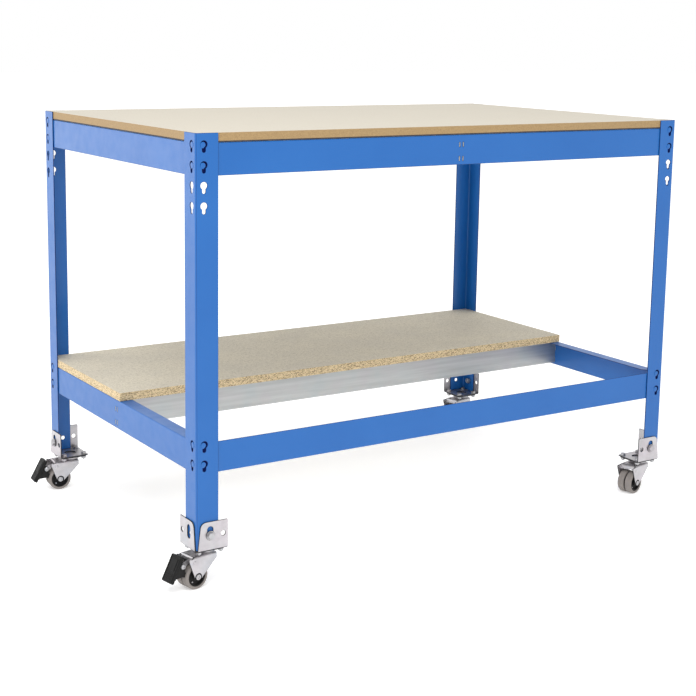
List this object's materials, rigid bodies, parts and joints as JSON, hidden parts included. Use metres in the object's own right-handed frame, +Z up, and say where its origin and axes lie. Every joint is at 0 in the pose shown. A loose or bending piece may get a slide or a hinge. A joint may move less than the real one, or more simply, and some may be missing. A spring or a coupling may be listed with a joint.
{
  "type": "mobile workbench",
  "caption": "Boltless blue steel workbench with a board worktop and a half-depth chipboard shelf, on swivel castors, the left pair braked.",
  "frame": {"origin": "on the floor, under the middle of the whole bench's bounding box, brake pedals included", "axes": "+X along the bench to the user's right, +Y from the open front to the back, +Z up"},
  "size_m": [1.2898, 0.773, 0.8815],
  "materials": {
    "blue_paint": "satin powder coat",
    "worktop_board": "smooth pale board with a tan fibre edge",
    "chipboard": "fine grey-beige chipboard with a speckled edge",
    "zinc": "bright zinc plate",
    "tyre": "matt warm grey rubber",
    "black_plastic": "moulded black plastic",
    "black_steel": "black coated steel"
  },
  "bodies": {
    "frame": {"worktop": "worktop_board", "lower_shelf": "chipboard", "upper_beam_front": "blue_paint", "lower_beam_front": "blue_paint", "upper_beam_right": "blue_paint", "lower_beam_right": "blue_paint", "upper_beam_back": "blue_paint", "lower_beam_back": "blue_paint", "upper_beam_left": "blue_paint", "lower_beam_left": "blue_paint", "worktop_tie_bar": "zinc", "shelf_tie_bar": "zinc", "post_front_left": "blue_paint", "castor_bracket_front_left": "zinc", "bracket_bolt_front_left": "zinc", "castor_plate_front_left": "zinc", "post_front_right": "blue_paint", "castor_bracket_front_right": "zinc", "bracket_bolt_front_right": "zinc", "castor_plate_front_right": "zinc", "post_back_left": "blue_paint", "castor_bracket_back_left": "zinc", "bracket_bolt_back_left": "zinc", "castor_plate_back_left": "zinc", "post_back_right": "blue_paint", "castor_bracket_back_right": "zinc", "bracket_bolt_back_right": "zinc", "castor_plate_back_right": "zinc"},
    "front_left_fork": {"castor_fork_front_left": "zinc", "castor_axle_front_left": "zinc", "brake_pivot_front_left": "zinc"},
    "front_left_near_wheel": {"tyre_near_front_left": "tyre", "hub_near_front_left": "black_plastic"},
    "front_left_far_wheel": {"tyre_far_front_left": "tyre", "hub_far_front_left": "black_plastic"},
    "front_left_brake": {"brake_pedal_front_left": "black_plastic", "brake_lever_front_left": "black_steel"},
    "front_right_fork": {"castor_fork_front_right": "zinc", "castor_axle_front_right": "zinc"},
    "front_right_near_wheel": {"tyre_near_front_right": "tyre", "hub_near_front_right": "black_plastic"},
    "front_right_far_wheel": {"tyre_far_front_right": "tyre", "hub_far_front_right": "black_plastic"},
    "back_left_fork": {"castor_fork_back_left": "zinc", "castor_axle_back_left": "zinc", "brake_pivot_back_left": "zinc"},
    "back_left_near_wheel": {"tyre_near_back_left": "tyre", "hub_near_back_left": "black_plastic"},
    "back_left_far_wheel": {"tyre_far_back_left": "tyre", "hub_far_back_left": "black_plastic"},
    "back_left_brake": {"brake_pedal_back_left": "black_plastic", "brake_lever_back_left": "black_steel"},
    "back_right_fork": {"castor_fork_back_right": "zinc", "castor_axle_back_right": "zinc"},
    "back_right_near_wheel": {"tyre_near_back_right": "tyre", "hub_near_back_right": "black_plastic"},
    "back_right_far_wheel": {"tyre_far_back_right": "tyre", "hub_far_back_right": "black_plastic"}
  },
  "joints": [
    {"name": "front_left_swivel", "type": "hinge", "parent": "frame", "child": "front_left_fork", "pos_m": [-0.55232, -0.3433, 0.07], "axis": [0, 0, 1], "continuous": true},
    {"name": "front_left_near_wheel_spin", "type": "hinge", "parent": "front_left_fork", "child": "front_left_near_wheel", "pos_m": [-0.58187, -0.34851, 0.026], "axis": [-0.1736, 0.9848, 0], "continuous": true},
    {"name": "front_left_far_wheel_spin", "type": "hinge", "parent": "front_left_fork", "child": "front_left_far_wheel", "pos_m": [-0.58187, -0.34851, 0.026], "axis": [-0.1736, 0.9848, 0], "continuous": true},
    {"name": "front_left_brake_pedal", "type": "hinge", "parent": "front_left_fork", "child": "front_left_brake", "pos_m": [-0.61141, -0.35372, 0.052], "axis": [-0.1736, 0.9848, 0], "range_deg": [0, 20]},
    {"name": "front_right_swivel", "type": "hinge", "parent": "frame", "child": "front_right_fork", "pos_m": [0.60168, -0.3433, 0.07], "axis": [0, 0, 1], "continuous": true},
    {"name": "front_right_near_wheel_spin", "type": "hinge", "parent": "front_right_fork", "child": "front_right_near_wheel", "pos_m": [0.57257, -0.35056, 0.026], "axis": [-0.2419, 0.9703, 0], "continuous": true},
    {"name": "front_right_far_wheel_spin", "type": "hinge", "parent": "front_right_fork", "child": "front_right_far_wheel", "pos_m": [0.57257, -0.35056, 0.026], "axis": [-0.2419, 0.9703, 0], "continuous": true},
    {"name": "back_left_swivel", "type": "hinge", "parent": "frame", "child": "back_left_fork", "pos_m": [-0.55232, 0.3507, 0.07], "axis": [0, 0, 1], "continuous": true},
    {"name": "back_left_near_wheel_spin", "type": "hinge", "parent": "back_left_fork", "child": "back_left_near_wheel", "pos_m": [-0.58221, 0.35331, 0.026], "axis": [0.0872, 0.9962, 0], "continuous": true},
    {"name": "back_left_far_wheel_spin", "type": "hinge", "parent": "back_left_fork", "child": "back_left_far_wheel", "pos_m": [-0.58221, 0.35331, 0.026], "axis": [0.0872, 0.9962, 0], "continuous": true},
    {"name": "back_left_brake_pedal", "type": "hinge", "parent": "back_left_fork", "child": "back_left_brake", "pos_m": [-0.61209, 0.35593, 0.052], "axis": [0.0872, 0.9962, 0], "range_deg": [0, 20]},
    {"name": "back_right_swivel", "type": "hinge", "parent": "frame", "child": "back_right_fork", "pos_m": [0.60168, 0.3507, 0.07], "axis": [0, 0, 1], "continuous": true},
    {"name": "back_right_near_wheel_spin", "type": "hinge", "parent": "back_right_fork", "child": "back_right_near_wheel", "pos_m": [0.5727, 0.34293, 0.026], "axis": [-0.2588, 0.9659, 0], "continuous": true},
    {"name": "back_right_far_wheel_spin", "type": "hinge", "parent": "back_right_fork", "child": "back_right_far_wheel", "pos_m": [0.5727, 0.34293, 0.026], "axis": [-0.2588, 0.9659, 0], "continuous": true}
  ]
}
